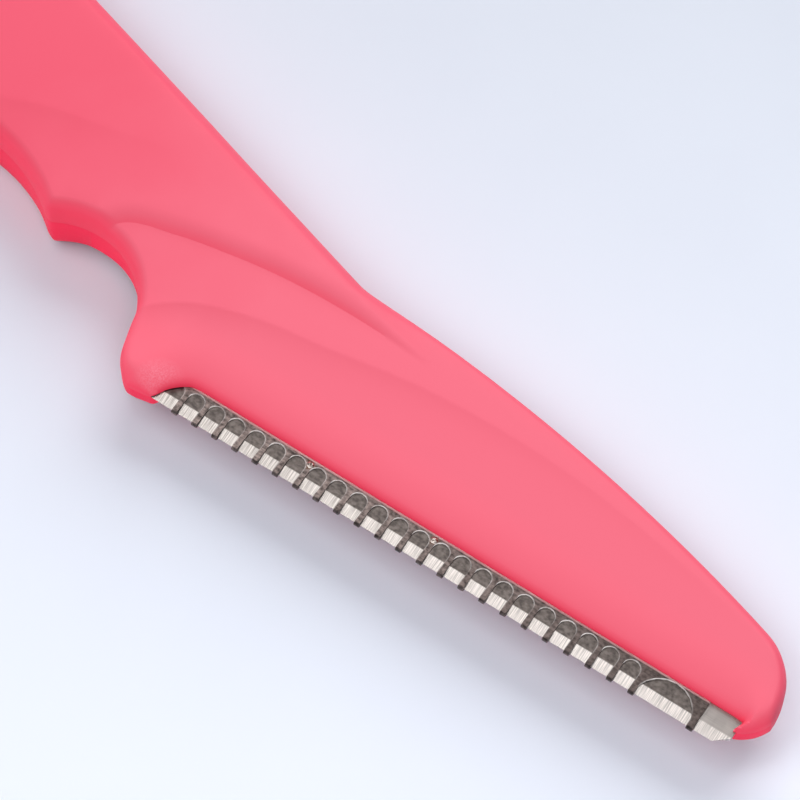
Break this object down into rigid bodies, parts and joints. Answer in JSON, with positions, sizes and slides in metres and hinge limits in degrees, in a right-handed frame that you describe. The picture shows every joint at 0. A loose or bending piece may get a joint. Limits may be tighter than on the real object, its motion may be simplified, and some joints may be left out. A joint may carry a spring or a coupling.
{
  "type": "eyebrow razor",
  "caption": "Disposable eyebrow razor: a slim moulded handle with a finger notch and an angled head that holds a straight blade behind a folded, windowed guard.",
  "frame": {"origin": "on the flat land of the handle's back, on which the razor lies, at the middle of the handle's full width and 54 mm behind the heel end of the cutting edge", "axes": "+X along the handle towards the head, +Y towards the spine, +Z out of the front face"},
  "size_m": [0.1477, 0.0179, 0.0054],
  "materials": {
    "pink_plastic": "fine satin moulding",
    "rose_plastic": "fine satin moulding",
    "blade_steel": "bright ground edge",
    "guard_steel": "dull rolled strip",
    "weld_steel": "heat-tinted spots"
  },
  "bodies": {
    "root": {"front_shell": "pink_plastic", "rear_shell": "rose_plastic", "blade": "blade_steel", "guard": "guard_steel", "guard_welds": "weld_steel"}
  },
  "joints": []
}
